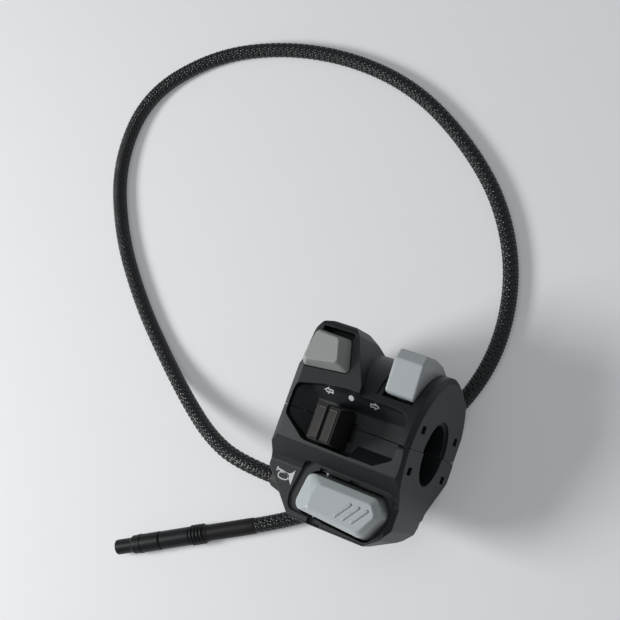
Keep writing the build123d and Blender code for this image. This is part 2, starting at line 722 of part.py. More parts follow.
# Leaf springs: a flat foot, a rising leg and a flat head
spring_sheet = 0.3
spring_width = 3.0
spring_clear = spring_sheet / 2 + seat_gap / 2
key_spring_y = key_centre_y + key_stem_radius + spring_width / 2 + seat_gap
key_spring_run = 2.0
beam_spring = leaf_spring(
    [
        (key_centre_x - 2 * key_spring_run, well_floor + spring_clear),
        (key_centre_x - key_spring_run, well_floor + spring_clear),
        (key_centre_x + key_spring_run, key_skirt - spring_clear),
        (key_centre_x + 2 * key_spring_run, key_skirt - spring_clear),
    ],
    spring_sheet, spring_width, Plane.XZ.offset(-key_spring_y),
)
beam_spring.label = "beam_spring"
export_step(beam_spring, "parts/beam_spring.step")

# Pass trigger: wing, lug with its bore, and the toe that reaches its switch
trigger_inner = trigger_seat + run_gap
trigger_side = spread(trigger_side_shares, barrel_radius, barrel_radius)
with BuildPart() as pass_trigger:
    with BuildSketch(across.offset(trigger_left)):
        add(outline(trigger_side, trigger_corner))
        Circle(trigger_inner, mode=Mode.SUBTRACT)
    extrude(amount=trigger_right - trigger_left)
    fillet(pass_trigger.edges().group_by(Axis.X)[-1], edge_round)
    fillet(pass_trigger.edges().group_by(Axis.X)[0], edge_round)
    with BuildSketch(across.offset(trigger_lug_left)):
        with Locations((trigger_pin_y, trigger_pin_z)):
            Circle(trigger_lug_radius)
        with Locations((trigger_pin_y, trigger_pin_z - trigger_toe_length / 2)):
            Rectangle(trigger_toe_width, trigger_toe_length)
        with BuildLine():
            Polyline(
                (trigger_pin_y - trigger_lug_radius, trigger_pin_z),
                (trigger_side[0][0], trigger_side[0][1] - trigger_corner),
                (trigger_pin_y + trigger_lug_radius, trigger_side[0][1] - 2 * trigger_corner),
                (trigger_pin_y + trigger_lug_radius, trigger_pin_z),
                close=True,
            )
        make_face()
        with Locations((trigger_pin_y, trigger_pin_z)):
            Circle(trigger_pin_radius + seat_gap / 2, mode=Mode.SUBTRACT)
    extrude(amount=trigger_lug_right - trigger_lug_left)
pass_trigger.part.label = "pass_trigger"
export_step(pass_trigger.part, "parts/pass_trigger.step")
print("pass_trigger", round(pass_trigger.part.volume), pass_trigger.part.is_valid)

trigger_pin = round_bar(trigger_pin_plane, trigger_pin_radius, trigger_pin_length)
trigger_pin.label = "trigger_pin"
export_step(trigger_pin, "parts/trigger_pin.step")

with BuildPart() as trigger_switch:
    add(block(trigger_switch_low, trigger_switch_high))
    fillet(trigger_switch.edges().filter_by(Axis.X), edge_round / 2)
trigger_switch.part.label = "trigger_switch"
export_step(trigger_switch.part, "parts/trigger_switch.step")

trigger_toe_face = trigger_pin_y + trigger_toe_width / 2
trigger_spring = leaf_spring(
    [
        (trigger_toe_face + spring_clear, trigger_switch_high[2] + spring_width),
        (trigger_toe_face + spring_clear, trigger_switch_high[2]),
        (trigger_switch_low[1] - spring_clear, trigger_switch_low[2] + 2 * overrun),
        (trigger_switch_low[1] - spring_clear, trigger_switch_low[2] + overrun),
    ],
    spring_sheet, spring_width, across.offset((trigger_lug_left + trigger_lug_right) / 2),
)
trigger_spring.label = "trigger_spring"
export_step(trigger_spring, "parts/trigger_spring.step")

# Turn-signal slider: tray, contact board, shutter with its stem, detents and the thumb knob
tray_bottom = tray_floor + seat_gap
tray_top = shutter_bottom - seat_gap
tray_inner = tray_half_height - floor_sheet
contact_sheet = 0.8
contact_inset = floor_sheet + seat_gap
contact_bottom = tray_bottom + floor_sheet + seat_gap / 2
runner_half_length = 5.0
runner_bottom = contact_bottom + contact_sheet + run_gap
runner_half_height = tray_inner - run_gap
ball_radius = 0.65
ball_reach = run_gap / 2
ball_z = (runner_bottom + shutter_bottom) / 2
stem_top = 29.0
knob_travel = 1.6
knob_bottom = dish_floor + knob_travel + 2 * seat_gap
knob_top = 33.8
knob_spring_room = 1.0     # for the spring when the knob is pushed in
knob_socket_top = stem_top + knob_travel + knob_spring_room
knob_rim = 0.55
knob_groove = 0.9
knob_groove_depth = 1.2
pad_seat = 0.6
pad_proud = 0.25

with BuildPart() as slider_base:
    add(
        block(
            (tray_left, slider_y - tray_half_height, tray_bottom),
            (tray_right, slider_y + tray_half_height, tray_top),
        )
    )
    fillet(slider_base.edges().filter_by(Axis.Z), edge_round)
    add(
        block(
            (tray_left + floor_sheet, slider_y - tray_inner, tray_bottom + floor_sheet),
            (tray_right - floor_sheet, slider_y + tray_inner, tray_top + overrun),
        ),
        mode=Mode.SUBTRACT,
    )
    with BuildSketch(face_up.offset(tray_bottom + floor_sheet)):
        with Locations((slider_x, slider_y)):
            with GridLocations(slide_travel, 2 * tray_inner, 3, 2):
                Circle(ball_radius)
    extrude(amount=tray_top - tray_bottom, mode=Mode.SUBTRACT)
slider_base.part.label = "slider_base"
export_step(slider_base.part, "parts/slider_base.step")

with BuildPart() as contact_board:
    add(
        block(
            (tray_left + contact_inset, slider_y + seat_gap - tray_inner, contact_bottom),
            (tray_right - contact_inset, slider_y - seat_gap + tray_inner, contact_bottom + contact_sheet),
        )
    )
contact_board.part.label = "contact_board"
export_step(contact_board.part, "parts/contact_board.step")

with BuildPart() as slider_carrier:
    add(
        block(
            (shutter_left, slider_y - shutter_half_height, shutter_bottom),
            (shutter_right, slider_y + shutter_half_height, shutter_top),
        )
    )
    fillet(slider_carrier.edges().filter_by(Axis.Z), edge_round)
    add(
        block(
            (slider_x - stem_half_length, slider_y - stem_half_height, shutter_bottom),
            (slider_x + stem_half_length, slider_y + stem_half_height, stem_top),
        )
    )
    fillet(slider_carrier.edges().group_by(Axis.Z)[-1], edge_round)
    add(
        block(
            (slider_x - runner_half_length, slider_y - runner_half_height, runner_bottom),
            (slider_x + runner_half_length, slider_y + runner_half_height, shutter_bottom),
        )
    )
    with BuildSketch(Plane((slider_x, slider_y, ball_z), z_dir=(0, 1, 0))):
        Circle(ball_radius + seat_gap / 2)
    extrude(amount=tray_half_height, both=True, mode=Mode.SUBTRACT)
slider_carrier.part.label = "slider_carrier"
export_step(slider_carrier.part, "parts/slider_carrier.step")

ball_offset = runner_half_height + ball_reach - ball_radius
with BuildPart() as detent_balls:
    with Locations((slider_x, slider_y - ball_offset, ball_z), (slider_x, slider_y + ball_offset, ball_z)):
        Sphere(ball_radius)
detent_balls.part.label = "detent_balls"
export_step(detent_balls.part, "parts/detent_balls.step")

detent_sheet = 0.2
detent_wave = ball_radius / 2
detent_end = ball_offset - ball_radius - seat_gap / 2
detent_turns = 6
detent_points = [(slider_y - detent_end, ball_z)]
for turn in range(detent_turns):
    share = (turn + 0.5) / detent_turns
    side = 1 if turn % 2 else -1
    detent_points.append((slider_y + (2 * share - 1) * detent_end, ball_z + side * detent_wave))
detent_points.append((slider_y + detent_end, ball_z))
detent_spring = leaf_spring(detent_points, detent_sheet, ball_radius, across.offset(slider_x))
detent_spring.label = "detent_spring"
export_step(detent_spring, "parts/detent_spring.step")

pad_left = knob_groove / 2 + seat_gap / 2
pad_right = knob_half_length - knob_rim
pad_half_height = knob_half_height - knob_rim
with BuildPart() as slider_knob:
    with BuildSketch(Plane((slider_x, slider_y, knob_bottom))):
        RectangleRounded(
            2 * (knob_half_length + knob_flare), 2 * (knob_half_height + knob_flare), edge_round,
        )
    with BuildSketch(Plane((slider_x, slider_y, knob_top))):
        RectangleRounded(2 * knob_half_length, 2 * knob_half_height, edge_round)
    loft(ruled=True)
    fillet(slider_knob.edges().group_by(Axis.Z)[-1], edge_round / 3)
    with BuildSketch(Plane((slider_x, slider_y, knob_top))):
        Rectangle(knob_groove, 2 * knob_half_height + overrun)
    extrude(amount=-knob_groove_depth, mode=Mode.SUBTRACT)
    with BuildSketch(Plane((slider_x, slider_y, knob_top))):
        Rectangle(2 * pad_right, 2 * pad_half_height)
    extrude(amount=-pad_seat, mode=Mode.SUBTRACT)
    with BuildSketch(Plane((slider_x, slider_y, knob_bottom))):
        Rectangle(2 * (stem_half_length + run_gap), 2 * (stem_half_height + run_gap))
    extrude(amount=knob_socket_top - knob_bottom, mode=Mode.SUBTRACT)
slider_knob.part.label = "slider_knob"
export_step(slider_knob.part, "parts/slider_knob.step")

with BuildPart() as knob_pads:
    with BuildSketch(Plane((slider_x, slider_y, knob_top - pad_seat + seat_gap / 2))):
        with Locations(((pad_left + pad_right) / 2, 0), (-(pad_left + pad_right) / 2, 0)):
            Rectangle(pad_right - pad_left - seat_gap, 2 * pad_half_height - seat_gap)
    extrude(amount=pad_seat + pad_proud)
    fillet(knob_pads.edges().group_by(Axis.Z)[-1], pad_proud)
knob_pads.part.label = "knob_pads"
export_step(knob_pads.part, "parts/knob_pads.step")

knob_spring = leaf_spring(
    [
        (slider_x - stem_half_length + seat_gap, stem_top + spring_clear),
        (slider_x - stem_half_length / 2, stem_top + spring_clear),
        (slider_x + stem_half_length / 2, knob_socket_top - spring_clear),
        (slider_x + stem_half_length - seat_gap, knob_socket_top - spring_clear),
    ],
    spring_sheet, spring_width, Plane.XZ.offset(-slider_y),
)
knob_spring.label = "knob_spring"
export_step(knob_spring, "parts/knob_spring.step")
print("slider", slider_knob.part.is_valid, slider_carrier.part.is_valid, len(slider_carrier.part.solids()))

# Horn button: hollow rocker with a raised panel, a rib with the pin's bore, and a post
with BuildPart() as horn_button:
    with BuildSketch(face_up.offset(horn_skirt)):
        add(outline(horn_base_points, horn_corner))
        offset(amount=horn_flare, kind=Kind.ARC)
    with BuildSketch(face_up.offset(horn_top - horn_bevel)):
        add(outline(horn_base_points, horn_corner))
    with BuildSketch(face_up.offset(horn_top)):
        add(outline(spread(horn_panel_shares, half_width, chin_bottom), horn_panel_corner))
    loft(ruled=True)
    with BuildSketch(Plane.XZ):
        add(outline(spread(horn_end_shares, half_width, horn_top), corner_round))
    extrude(amount=2 * chin_bottom, mode=Mode.INTERSECT)
    fillet(horn_button.edges().group_by(Axis.Z)[-1], edge_round / 2)
    with BuildSketch(face_up.offset(horn_skirt)):
        add(outline(horn_base_points, horn_corner))
        offset(amount=horn_flare - horn_wall, kind=Kind.ARC)
    with BuildSketch(face_up.offset(horn_top - horn_wall - horn_roof)):
        add(outline(horn_base_points, horn_corner))
        offset(amount=-2 * horn_wall, kind=Kind.ARC)
    loft(ruled=True, mode=Mode.SUBTRACT)
    with BuildSketch(Plane.XZ.offset(chin_bottom * abs(horn_top_shares[0][1]) + horn_wall / 2)):
        with Locations((horn_pin_x, (horn_rib_bottom + horn_top - horn_roof) / 2)):
            Rectangle(4 * horn_pin_radius, horn_top - horn_roof - horn_rib_bottom)
    extrude(amount=chin_bottom * abs(horn_top_shares[-1][1] - horn_top_shares[0][1]) - 2 * horn_wall)
    horn_bore = round_bar(horn_pin_plane.offset(-overrun), horn_pin_radius + seat_gap / 2, chin_bottom)
    add(horn_bore, mode=Mode.SUBTRACT)
    with BuildSketch(face_up.offset(horn_top - horn_wall)):
        with Locations((horn_post_x, horn_post_y)):
            Circle(horn_post_radius)
    extrude(amount=-(horn_top - horn_wall - horn_post_end))
    with BuildSketch(face_up.offset(horn_top)):
        for turn in range(groove_count):
            with Locations(Location((groove_x + (turn - 1) * groove_pitch, groove_y), groove_lean)):
                SlotOverall(groove_length, groove_width)
    extrude(amount=-groove_depth, mode=Mode.SUBTRACT)
horn_button.part.label = "horn_button"
export_step(horn_button.part, "parts/horn_button.step")
print("horn_button", round(horn_button.part.volume), horn_button.part.is_valid)

horn_pin = round_bar(horn_pin_plane, horn_pin_radius, horn_pin_length)
horn_pin.label = "horn_pin"
export_step(horn_pin, "parts/horn_pin.step")

# Circuit board on four bosses, its screws, and the horn switch with its dome
with BuildPart() as circuit_board:
    add(block((*board_low, board_top - board_sheet), (*board_high, board_top)))
    fillet(circuit_board.edges().filter_by(Axis.Z), edge_round)
    with BuildSketch(face_up.offset(board_top)):
        with Locations(*board_boss_places):
            Circle(board_screw_radius + seat_gap)
    extrude(amount=-board_sheet, mode=Mode.SUBTRACT)
circuit_board.part.label = "circuit_board"
export_step(circuit_board.part, "parts/circuit_board.step")

with BuildPart() as board_screws:
    with BuildSketch(face_up.offset(board_top + seat_gap / 2)):
        with Locations(*board_boss_places):
            Circle(board_head_radius)
    extrude(amount=board_screw_radius)
    with BuildSketch(face_up.offset(board_top + seat_gap / 2)):
        with Locations(*board_boss_places):
            Circle(board_screw_radius - seat_gap / 2)
    extrude(amount=-board_screw_length)
board_screws.part.label = "board_screws"
export_step(board_screws.part, "parts/board_screws.step")

with BuildPart() as horn_switch:
    with BuildSketch(face_up.offset(board_top)):
        with Locations((horn_post_x, horn_post_y)):
            Rectangle(horn_switch_size, horn_switch_size)
    extrude(amount=horn_switch_height)
    fillet(horn_switch.edges().filter_by(Axis.Z), edge_round)
    with BuildSketch(face_up.offset(board_top + horn_switch_height)):
        with Locations((horn_post_x, horn_post_y)):
            Circle(horn_post_radius)
    extrude(amount=horn_nub_height)
horn_switch.part.label = "horn_switch"
export_step(horn_switch.part, "parts/horn_switch.step")

horn_spring_x = (horn_pin_x + horn_post_x) / 2
horn_spring = leaf_spring(
    [
        (horn_pin_x, board_top + spring_clear),
        (horn_spring_x - 2 * horn_pin_radius, board_top + spring_clear),
        (horn_spring_x + 2 * horn_pin_radius, horn_top - horn_wall - horn_roof - spring_clear),
        (horn_spring_x + 4 * horn_pin_radius, horn_top - horn_wall - horn_roof - spring_clear),
    ],
    spring_sheet, spring_width, Plane.XZ.offset(-horn_post_y),
)
horn_spring.label = "horn_spring"
export_step(horn_spring, "parts/horn_spring.step")

# Gland: a sleeve through the wall, a flange on its boss and a tapered tip
with BuildPart() as cable_gland:
    with BuildSketch(Plane.XZ.offset(-gland_y)):
        with BuildLine():
            Polyline(
                (-gland_inner, gland_z),
                (-gland_inner, gland_z + gland_radius),
                (-gland_boss_left - seat_gap / 2, gland_z + gland_radius),
                (-gland_boss_left - seat_gap / 2, gland_z + gland_flange_radius),
                (-gland_boss_left - gland_flange, gland_z + gland_flange_radius),
                (-gland_tip, gland_z + cord_radius + edge_round),
                (-gland_tip, gland_z),
                close=True,
            )
        make_face()
    revolve(axis=Axis((0, gland_y, gland_z), (1, 0, 0)))
cable_gland.part.label = "cable_gland"
export_step(cable_gland.part, "parts/cable_gland.step")

# Cord: straight runs joined by arcs as large as the runs allow
points = [Vector(*point) for point in cord_route]
runs = [points[i + 1] - points[i] for i in range(len(points) - 1)]
radii = []
for before, after in zip(runs, runs[1:]):
    half_turn = math.radians(before.get_angle(after)) / 2
    radii.append(0.45 * min(before.length, after.length) / math.tan(half_turn))
print("cord runs", [round(run.length, 1) for run in runs])
print("cord bend radii", [round(radius, 1) for radius in radii])
with BuildPart() as cable:
    with BuildLine() as route:
        FilletPolyline(*points, radius=radii)
    cord_path = route.wire()
    with BuildSketch(Plane(cord_path @ 0, z_dir=cord_path % 0)):
        Circle(cord_radius)
    sweep(path=cord_path)
cable.part.label = "cable"
export_step(cable.part, "parts/cable.step")
cord_length = cord_path.length
cord_volume = math.pi * cord_radius**2 * cord_length
print("cord length", round(cord_length, 1), "volume ratio", round(cable.part.volume / cord_volume, 4))

# Connector on the cord's end: shrink sleeve, ridged collar, body, nut with its ring, shell
tip = points[-1]
ahead = (points[-1] - points[-2]).normalized()


def connector_plane(distance):
    """A plane across the connector, so far beyond the end of the cord."""
    return Plane(tip + ahead * distance, z_dir=ahead)


def turned(profile_points, start):
    """A piece turned about the connector's axis from points (distance, radius)."""
    frame = Plane(tip + ahead * start, x_dir=ahead, z_dir=(0, 0, 1))
    with BuildPart() as piece:
        with BuildSketch(frame):
            with BuildLine():
                Polyline((0, 0), *profile_points, (profile_points[-1][0], 0), close=True)
            make_face()
        revolve(axis=Axis(tip, ahead))
    return piece.part


shrink_taper = 2.0
heat_shrink = turned(
    [
        (0, cord_radius + seat_gap),
        (shrink_taper, shrink_radius),
        (shrink_length - shrink_taper, shrink_radius),
        (shrink_length, tail_radius - seat_gap),
    ],
    0,
)
collar_start = shrink_length
ridge_count = 4
ridge_pitch = collar_length / ridge_count
ridge_depth = 0.45
collar_points = []
for ridge in range(ridge_count):
    collar_points.append((ridge * ridge_pitch, collar_radius - ridge_depth))
    collar_points.append((ridge * ridge_pitch + ridge_depth, collar_radius))
    collar_points.append(((ridge + 1) * ridge_pitch - ridge_depth, collar_radius))
    collar_points.append(((ridge + 1) * ridge_pitch - ridge_depth / 2, collar_radius - ridge_depth))
collar_points.append((collar_length, collar_radius - ridge_depth))
connector_collar = turned(collar_points, collar_start)
tail_start = collar_start + collar_length
connector_tail = turned(
    [
        (0, tail_radius - edge_round / 2),
        (edge_round, tail_radius),
        (tail_length - edge_round, tail_radius),
        (tail_length, tail_radius - edge_round / 2),
    ],
    tail_start,
)
nut_start = tail_start + tail_length
ring_place = nut_length * 2 / 3
ring_width = 1.2
ring_depth = 0.6
connector_nut = turned(
    [
        (0, nut_radius - edge_round / 2),
        (edge_round / 2, nut_radius),
        (ring_place, nut_radius),
        (ring_place, nut_radius - ring_depth),
        (ring_place + ring_width, nut_radius - ring_depth),
        (ring_place + ring_width, nut_radius),
        (nut_length - edge_round, nut_radius),
        (nut_length, nut_radius - edge_round / 2),
    ],
    nut_start,
)
with BuildPart() as connector_ring:
    with BuildSketch(connector_plane(nut_start + ring_place + seat_gap / 2)):
        Circle(nut_radius + ring_depth / 4)
        Circle(nut_radius - ring_depth + seat_gap / 2, mode=Mode.SUBTRACT)
    extrude(amount=ring_width - seat_gap)
shell_start = nut_start + nut_length
with BuildPart() as connector_shell:
    with BuildSketch(connector_plane(shell_start)):
        Circle(shell_radius)
    extrude(amount=shell_length)
    fillet(connector_shell.edges().sort_by(Axis(tip, ahead))[-1], edge_round / 2)
    with BuildSketch(connector_plane(shell_start + shell_length)):
        Circle(insert_face_radius + seat_gap / 2)
    extrude(amount=-(shell_length - case_wall), mode=Mode.SUBTRACT)
with BuildPart() as connector_insert:
    with BuildSketch(connector_plane(shell_start + case_wall)):
        Circle(insert_face_radius)
    extrude(amount=shell_length - case_wall - seat_gap)
    with BuildSketch(connector_plane(shell_start + shell_length)):
        with PolarLocations(insert_face_radius * 0.6, 5):
            Circle(insert_face_radius / 7)
    extrude(amount=-case_wall, mode=Mode.SUBTRACT)
for name, piece in (
    ("heat_shrink", heat_shrink),
    ("connector_collar", connector_collar),
    ("connector_tail", connector_tail),
    ("connector_nut", connector_nut),
    ("connector_ring", connector_ring.part),
    ("connector_shell", connector_shell.part),
    ("connector_insert", connector_insert.part),
):
    piece.label = name
    export_step(piece, f"parts/{name}.step")
    print(name, round(piece.volume, 1), piece.is_valid)
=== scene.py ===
# %% [markdown]
# # A handlebar switch cluster: the looks
#
# The CAD model gives every hard piece at its real size. This lesson gives them their finish, and
# adds what a modeller of solids leaves out: the woven sleeve of the cord, the fine ribs of the
# thumb pads, the ribs on the horn button, the lip in the case's seam, the printed marks, the
# floor, the light and the camera.

import json

import bmesh
import bpy
import numpy as np
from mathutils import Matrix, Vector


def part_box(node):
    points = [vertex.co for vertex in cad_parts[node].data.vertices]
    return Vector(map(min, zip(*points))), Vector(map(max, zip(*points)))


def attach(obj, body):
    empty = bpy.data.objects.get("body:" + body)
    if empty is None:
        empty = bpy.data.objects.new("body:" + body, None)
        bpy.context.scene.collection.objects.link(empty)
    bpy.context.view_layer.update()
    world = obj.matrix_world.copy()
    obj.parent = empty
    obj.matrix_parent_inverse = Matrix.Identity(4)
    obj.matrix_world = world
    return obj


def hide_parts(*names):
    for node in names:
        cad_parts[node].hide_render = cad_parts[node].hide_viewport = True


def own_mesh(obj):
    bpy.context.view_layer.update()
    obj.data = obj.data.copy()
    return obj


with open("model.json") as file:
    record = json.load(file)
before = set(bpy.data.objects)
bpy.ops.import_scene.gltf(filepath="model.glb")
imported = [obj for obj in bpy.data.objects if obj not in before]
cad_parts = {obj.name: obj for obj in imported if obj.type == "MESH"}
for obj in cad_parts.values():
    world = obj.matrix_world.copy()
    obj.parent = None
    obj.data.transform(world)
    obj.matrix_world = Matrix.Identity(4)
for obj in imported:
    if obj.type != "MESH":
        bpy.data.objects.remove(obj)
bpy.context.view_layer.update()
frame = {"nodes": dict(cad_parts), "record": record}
nodes = frame["nodes"]

MM = 0.001


# %% [markdown]
# ## Camera
#
# The photograph looks down on the cluster from the bore's side, through a long lens. A camera is
# placed by the direction behind it and the direction that points up in the picture. The third
# direction follows from a cross product, so the three stay square to each other. The numbers come
# from matching the bore's ellipse and the case's outline.

# %% Set up the camera
camera_place = np.array([151.69, 2.91, 404.81]) * MM
view_back = np.array([0.42485, -0.07274, 0.90234])
view_up = np.array([-0.27835, 0.93798, 0.20667])
lens_mm = 69.68
sensor_mm = 36.0
nearest_seen = 10.0 * MM


def unit(vectors):
    """Vectors divided by their length."""
    return vectors / np.linalg.norm(vectors, axis=-1, keepdims=True)


def look_matrix(place, back, up):
    """A 4 by 4 matrix whose columns are right, up, back and the place."""
    back = unit(back)
    right = unit(np.cross(up, back))
    matrix = np.eye(4)
    matrix[:3, 0] = right
    matrix[:3, 1] = np.cross(back, right)
    matrix[:3, 2] = back
    matrix[:3, 3] = place
    return matrix


def add_piece(name, data):
    """A new object at the origin, unturned and unscaled, in the scene's collection."""
    piece = bpy.data.objects.new(name, data)
    bpy.context.collection.objects.link(piece)
    return piece


camera_data = bpy.data.cameras.new("photo_camera")
camera_data.lens = lens_mm
camera_data.sensor_width = sensor_mm
camera_data.clip_start = nearest_seen
camera = add_piece("photo_camera", camera_data)
camera.matrix_world = look_matrix(camera_place, view_back, view_up).T.tolist()
bpy.context.scene.camera = camera
print("camera is", round(float(np.linalg.norm(camera_place)), 3), "m from the bar's middle")

# %% [markdown]
# ## The cord's line
#
# A braided cord lies in one smooth curve: out of the chin, round in a wide loop on the table, back
# under the hollow of the case, and on to its connector. A NURBS spline draws that curve from a few
# listed control points, the same ones that the CAD model runs its tube along.

# %% Draw the cord
cord_route_mm = [
    (-30.5, -26.8, -3.0), (-46.5, -26.8, -3.0), (-64.5, -22.6, -9.5), (-84.0, -13.4, -18.3),
    (-105.0, 0.8, -23.5), (-125.6, 19.0, -23.5), (-146.5, 43.3, -23.5), (-161.0, 73.0, -23.5),
    (-159.3, 105.1, -23.5), (-134.6, 128.5, -23.5), (-104.4, 139.0, -23.5), (-72.2, 141.2, -23.5),
    (-40.6, 135.0, -23.5), (-12.5, 119.0, -23.5), (11.2, 97.3, -23.5), (25.9, 68.3, -23.5),
    (27.6, 35.7, -23.5), (13.4, 5.6, -23.5), (-1.6, -21.4, -23.5), (-25.3, -40.5, -22.5),
    (-40.2, -48.6, -22.5),
]
core_radius = 2.8 * MM
cord_resolution = 24
tube_resolution = 3
full_bevel = 1.0


def cord_curve(name, route, radius):
    """A NURBS spline on the route's control points, thickened to a round tube. Blender adds the
    points' radius to a curve's bounds, so the points hold the radius and the bevel is 1."""
    data = bpy.data.curves.new(name, "CURVE")
    data.dimensions = "3D"
    data.resolution_u = cord_resolution
    data.render_resolution_u = cord_resolution
    spline = data.splines.new("NURBS")
    spline.points.add(len(route) - 1)
    weighted = np.column_stack([route, np.ones(len(route))])
    spline.points.foreach_set("co", weighted.ravel())
    spline.points.foreach_set("radius", np.full(len(route), radius))
    spline.order_u = 3
    spline.use_endpoint_u = True
    data.bevel_depth = full_bevel
    data.bevel_resolution = tube_resolution
    data.use_fill_caps = True
    return add_piece(name, data)


cord_route = np.array(cord_route_mm) * MM
cord = cord_curve("cord_core", cord_route, core_radius)
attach(cord, "housing")
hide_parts("cable")
print("cord:", len(cord_route), "control points")

# %% [markdown]
# ## Points along the cord
#
# The strands of the braid follow the cord, so they need its line as Blender draws it. With the
# bevel at zero for a moment, the curve turns into a mesh that holds only that line.

# %% Read the cord's line
def curve_line(piece):
    """The points of a curve's own line, read with its bevel set to zero."""
    piece.data.bevel_depth = 0.0
    bpy.context.view_layer.update()
    mesh = bpy.data.meshes.new_from_object(piece)
    line = np.empty(len(mesh.vertices) * 3)
    mesh.vertices.foreach_get("co", line)
    bpy.data.meshes.remove(mesh)
    piece.data.bevel_depth = full_bevel
    return line.reshape(-1, 3)


cord_line = curve_line(cord)
cord_steps = np.linalg.norm(np.diff(cord_line, axis=0), axis=1)
cord_run = np.concatenate([[0.0], np.cumsum(cord_steps)])
cord_length = cord_run[-1]
print("cord length", round(float(cord_length), 4), "m over", len(cord_line), "points")

# %% [markdown]
# ## Mesh helper
#
# Every new piece is one or more grids of points that a formula gives. The helper joins such grids
# into one mesh. A grid may be closed along either direction.

# %% Make a mesh from grids
def grid_faces(rows, columns, start, close_rows=False, close_columns=False):
    """Quads of a grid whose point (i, j) has number start + i * columns + j."""
    i = np.arange(rows if close_rows else rows - 1)
    j = np.arange(columns if close_columns else columns - 1)
    i, j = (part.ravel() for part in np.meshgrid(i, j, indexing="ij"))
    next_i = (i + 1) % rows
    next_j = (j + 1) % columns
    corners = [(i, j), (i, next_j), (next_i, next_j), (next_i, j)]
    return np.stack([row * columns + column for row, column in corners], axis=1) + start


def grid_mesh(name, grids, close_rows=False, close_columns=False, smooth=True, uv=None):
    """A mesh of several grids, each an array of shape rows by columns by 3."""
    points, faces, start = [], [], 0
    for grid in grids:
        rows, columns = grid.shape[:2]
        points.append(grid.reshape(-1, 3))
        faces.append(grid_faces(rows, columns, start, close_rows, close_columns))
        start += rows * columns
    points = np.concatenate(points)
    faces = np.concatenate(faces)
    mesh = bpy.data.meshes.new(name)
    mesh.from_pydata(points.tolist(), [], faces.tolist())
    if uv is not None:
        layer = mesh.uv_layers.new(name="UVMap")
        layer.data.foreach_set("uv", uv.reshape(-1, 2)[faces.ravel()].ravel())
    mesh.polygons.foreach_set("use_smooth", np.full(len(faces), smooth))
    mesh.update()
    return add_piece(name, mesh)


print("a closed band of 4 by 3 points has", len(grid_faces(4, 3, 0, close_rows=True)), "faces")

# %% [markdown]
# ## The braid
#
# Ten flat strands run round the cord to the left and ten to the right, and each passes over and
# under the others in turn. A strand is a helix whose radius rises and falls in step with the
# crossings. Its cross-section is a low crown, so that light catches the middle of each float.

# %% Shape one strand
strand_count = 10
braid_rise = 2.6 * MM
strand_width = 1.56 * MM
strand_radius = 2.86 * MM
strand_wave = 0.26 * MM
strand_crown = 0.36 * MM
strand_across = np.array([-0.5, -0.2, 0.2, 0.5])
samples_per_crossing = 3


def frames_along(line, run, places):
    """Points at the given distances along a line, and two directions square to it."""
    middle = np.stack([np.interp(places, run, line[:, axis]) for axis in range(3)], axis=1)
    tangent = unit(np.gradient(middle, axis=0))
    upward = unit(np.array([0.0, 0.0, 1.0]) - tangent * tangent[:, 2:3])
    sideways = np.cross(tangent, upward)
    return middle, upward, sideways


def braid_strand(places, line_frames, index, hand):
    """One strand: angle = hand * 2 pi s / (count * rise) + index * 2 pi / count, radius = mean
    plus hand * wave * cos(pi * crossing) - crown * (2 * across)^2, where the crossings come at
    half the rise."""
    middle, upward, sideways = line_frames
    turn = hand * 2 * np.pi * places / (strand_count * braid_rise)
    angle = turn + index * 2 * np.pi / strand_count
    crossing = 2 * places / braid_rise
    height = strand_radius + hand * strand_wave * np.cos(np.pi * crossing)
    drop = strand_crown * (2 * strand_across) ** 2
    spread = strand_across * strand_width / strand_radius
    all_angles = angle[:, None] + spread[None, :]
    radius = height[:, None] - drop[None, :]
    outward = (
        np.cos(all_angles)[..., None] * upward[:, None, :]
        + np.sin(all_angles)[..., None] * sideways[:, None, :]
    )
    return middle[:, None, :] + radius[..., None] * outward


sample_count = int(cord_length / braid_rise * 2 * samples_per_crossing)
print("each strand has", sample_count, "rows of", len(strand_across), "points")

# %% [markdown]
#
# All twenty strands go into one mesh. Its UV map runs along and across each strand in strand
# widths, for the threads of the finish.

# %% Weave the braid
places = np.linspace(0.0, cord_length, sample_count)
line_frames = frames_along(cord_line, cord_run, places)
strands = [
    braid_strand(places, line_frames, index, hand)
    for hand in (1, -1)
    for index in range(strand_count)
]
strand_uv = np.stack(
    np.meshgrid(places / strand_width, strand_across + 0.5, indexing="ij"), axis=-1
)
all_uv = np.tile(strand_uv.reshape(-1, 2), (len(strands), 1))
braid = grid_mesh("cord_braid", strands, uv=all_uv)
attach(braid, "housing")
print("braid:", len(strands), "strands,", len(braid.data.polygons), "faces")

# %% [markdown]
# ## Ribbed thumb pads
#
# The two pads on the knob are moulded with fine ribs along their length. Each is a height field: a
# flat top, less a cosine for the ribs, less a quarter circle where it comes near an edge. The
# outermost points drop straight down to the pad's seat and make its walls.

# %% Rib the pads
rib_pitch = 0.40 * MM
rib_depth = 0.07 * MM
rib_samples = 8
pad_rim = 0.22 * MM
pad_rows = 60
pads_low, pads_high = (np.array(corner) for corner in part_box("knob_pads"))
pads_split = 1.1 * MM


def eased_edge(distance):
    """Fall of a rounded edge: rim - sqrt(rim^2 - (rim - distance)^2) inside the rim, else 0."""
    inside = np.clip(pad_rim - distance, 0.0, pad_rim)
    return pad_rim - np.sqrt(pad_rim**2 - inside**2)


